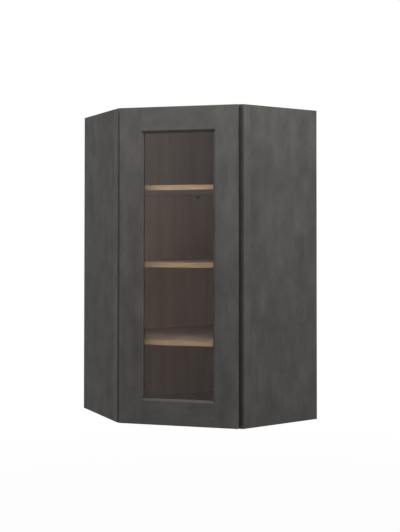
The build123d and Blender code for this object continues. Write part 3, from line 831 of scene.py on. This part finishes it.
def make_world(studio):
    """Even light from all round, seen as plain white."""
    world = bpy.data.worlds.new("studio")
    bpy.context.scene.world = world
    world.use_nodes = True
    tree = world.node_tree
    even = tree.nodes["Background"]
    even.inputs["Color"].default_value = WHITE
    even.inputs["Strength"].default_value = studio.room_light
    white = new_node(tree, "ShaderNodeBackground", {"Color": WHITE, "Strength": 1.0}).outputs[0]
    mix = new_node(
        tree, "ShaderNodeMixShader", {0: seen_rays(tree), 1: even.outputs[0], 2: white})
    tree.links.new(mix.outputs[0], tree.nodes["World Output"].inputs["Surface"])


def make_lamp(name, place, target, width, power):
    """Large soft lamp that looks at a point of the cabinet."""
    lamp = bpy.data.lights.new(name, "AREA")
    lamp.shape = "SQUARE"
    lamp.size = width
    lamp.energy = power
    holder = bpy.data.objects.new(name, lamp)
    place_and_aim(holder, place, Vector(target) - Vector(place))
    return lamp


def make_camera(studio):
    """Camera at the photograph's place and angle."""
    lens = bpy.data.cameras.new("camera")
    lens.sensor_width = SENSOR_WIDTH
    lens.lens = studio.camera_lens
    lens.shift_x, lens.shift_y = studio.camera_shift
    camera = bpy.data.objects.new("camera", lens)
    turn, tilt = studio.camera_turn, studio.camera_tilt
    ahead = (math.cos(tilt) * math.cos(turn), math.cos(tilt) * math.sin(turn), math.sin(tilt))
    place_and_aim(camera, studio.camera_place, Vector(ahead))
    bpy.context.scene.camera = camera


def place_and_aim(holder, place, ahead):
    """Puts a lamp or the camera at its place in the scene, upright and looking ahead."""
    holder.location = place
    holder.rotation_mode = "QUATERNION"
    holder.rotation_quaternion = ahead.to_track_quat("-Z", "Y")
    bpy.context.scene.collection.objects.link(holder)


# Operators


class CABINET_OT_stained_boards(bpy.types.Operator):
    """Finishes the sides, the face frame, the door's members and its glazing beads in grey stain."""

    bl_idname = "cabinet.stained_boards"
    bl_label = "Stained boards"

    def execute(self, context):
        for seed, (name, grain) in enumerate(STAINED.items(), FIRST_STAINED_SEED):
            paint_nodes([name], stained_wood(name, grain, seed))
        return {"FINISHED"}


class CABINET_OT_plywood_panels(bpy.types.Operator):
    """Finishes the decks, backs, hanging rails and cleat in pale wood."""

    bl_idname = "cabinet.plywood_panels"
    bl_label = "Plywood panels"

    def execute(self, context):
        wood = context.scene.cabinet_wood
        for seed, (name, grain) in enumerate(PLYWOOD.items(), FIRST_PLYWOOD_SEED):
            paint_nodes([name], natural_wood(name, grain, seed, wood.bare_pale, wood.bare_deep))
        return {"FINISHED"}


class CABINET_OT_shelves(bpy.types.Operator):
    """Finishes the shelf boards and their edge strips in clear lacquered wood."""

    bl_idname = "cabinet.shelves"
    bl_label = "Shelves"

    def execute(self, context):
        wood = context.scene.cabinet_wood
        for seed, shelf in enumerate(SHELVES, FIRST_SHELF_SEED):
            for name, seed_step, pale, deep in (
                (shelf + "_board", 0, wood.natural_pale, wood.natural_deep),
                (shelf + "_edge", EDGE_SEED_STEP, wood.edge_pale, wood.edge_deep),
            ):
                paint_nodes([name], natural_wood(name, ACROSS_FRONT, seed + seed_step, pale, deep))
        return {"FINISHED"}


class CABINET_OT_glass(bpy.types.Operator):
    """Gives the door's pane clear glass with faint finger marks."""

    bl_idname = "cabinet.glass"
    bl_label = "Glass"

    def execute(self, context):
        tint = toned(context.scene.cabinet_fittings.glass_colour)
        paint_nodes(["glass_pane"], clear_material(
            "glass", GLASS_DUST_AMOUNT, tint, GLASS_DUST, GLASS_ROUGHNESS,
            Transmission_Weight=1.0, IOR=GLASS_BENDING))
        return {"FINISHED"}


class CABINET_OT_hinges(bpy.types.Operator):
    """Gives the hinges, the shelf pins and the glazing brads their plated steel."""

    bl_idname = "cabinet.hinges"
    bl_label = "Hinges and pins"

    def execute(self, context):
        nickel = context.scene.cabinet_fittings.steel_colour
        zinc = context.scene.cabinet_fittings.zinc_colour
        spring = [SPRING_SHADE * part for part in nickel]
        pressed = plated_steel("pressed_nickel", nickel, roughness=0.28, scratch=(90.0, 90.0, 900.0))
        turned = plated_steel("turned_nickel", nickel, roughness=0.2, scratch=(900.0, 900.0, 60.0))
        sprung = plated_steel("sprung_steel", spring, roughness=0.24, scratch=(60.0, 60.0, 1200.0))
        wire = plated_steel("zinc_wire", zinc, roughness=0.34, scratch=(700.0, 700.0, 700.0))
        for hinge in HINGES:
            paint_nodes([hinge + part for part in ("_cup", "_arm", "_plate")], pressed)
            paint_nodes([hinge + "_pin"], turned)
            paint_nodes([hinge + "_spring"], sprung)
        paint_nodes([shelf + "_pins" for shelf in SHELVES], turned)
        paint_nodes(["glazing_brads"], wire)
        return {"FINISHED"}


class CABINET_OT_screws(bpy.types.Operator):
    """Makes the zinc-plated wood screws with cross recesses, of the face frame and the hinges."""

    bl_idname = "cabinet.screws"
    bl_label = "Screws"

    def execute(self, context):
        colour = context.scene.cabinet_fittings.zinc_colour
        zinc = plated_steel("zinc_screw", colour, roughness=0.3, scratch=(800.0, 800.0, 800.0))
        for node, body in SCREWS.items():
            fitted_piece(node, body, screw_at, zinc)
        return {"FINISHED"}


class CABINET_OT_bumpers(bpy.types.Operator):
    """Makes the two domed bumpers of clear soft plastic on the door's back."""

    bl_idname = "cabinet.bumpers"
    bl_label = "Door bumpers"

    def execute(self, context):
        plastic = clear_material(
            "clear_plastic", PLASTIC_DUST_AMOUNT, PLASTIC_COLOUR, PLASTIC_DUST, PLASTIC_ROUGHNESS,
            Transmission_Weight=PLASTIC_CLEARNESS, IOR=PLASTIC_BENDING)
        fitted_piece("door_bumpers", "door", bumper_at, plastic)
        return {"FINISHED"}


class CABINET_OT_stage(bpy.types.Operator):
    """Makes the floor, the light from all round, the lamps and the camera."""

    bl_idname = "cabinet.stage"
    bl_label = "Stage"

    def execute(self, context):
        studio = context.scene.cabinet_studio
        make_floor(studio)
        make_world(studio)
        lamps = {
            name: make_lamp(name + "_lamp", *setting, getattr(studio, name + "_power"))
            for name, setting in LAMPS.items()}
        lamps["haze"].shape = "DISK"
        lamps["haze"].spread = HAZE_SPREAD
        make_camera(studio)
        context.scene.view_settings.view_transform = "Standard"
        return {"FINISHED"}


class CABINET_PT_panel(bpy.types.Panel):
    """Lists the cabinet's settings and pieces."""

    bl_label = "Corner wall cabinet"
    bl_idname = "CABINET_PT_panel"
    bl_space_type = "VIEW_3D"
    bl_region_type = "UI"
    bl_category = "Cabinet"

    def draw(self, context):
        scene = context.scene
        for title, settings in (
            ("Wood", scene.cabinet_wood),
            ("Fittings", scene.cabinet_fittings),
            ("Studio", scene.cabinet_studio),
        ):
            box = self.layout.box()
            box.label(text=title)
            for name in type(settings).__annotations__:
                box.prop(settings, name)
        for operator in OPERATORS:
            self.layout.operator(operator.bl_idname)


SETTINGS = {
    "cabinet_wood": CabinetWood,
    "cabinet_fittings": CabinetFittings,
    "cabinet_studio": CabinetStudio,
}
OPERATORS = (
    CABINET_OT_stained_boards,
    CABINET_OT_plywood_panels,
    CABINET_OT_shelves,
    CABINET_OT_glass,
    CABINET_OT_hinges,
    CABINET_OT_screws,
    CABINET_OT_bumpers,
    CABINET_OT_stage,
)


def register():
    """Registers the classes and hangs the settings on the scene."""
    for item in (*SETTINGS.values(), *OPERATORS, CABINET_PT_panel):
        bpy.utils.register_class(item)
    for name, settings in SETTINGS.items():
        setattr(bpy.types.Scene, name, PointerProperty(type=settings))


def unregister():
    """Takes the settings and the classes away again."""
    for name in SETTINGS:
        delattr(bpy.types.Scene, name)
    for item in (CABINET_PT_panel, *reversed(OPERATORS), *SETTINGS.values()):
        bpy.utils.unregister_class(item)


def main():
    """Builds the looks."""
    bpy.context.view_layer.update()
    register()
    for operator in OPERATORS:
        group, name = operator.bl_idname.split(".")
        getattr(getattr(bpy.ops, group), name)()


if __name__ == "__main__":
    main()
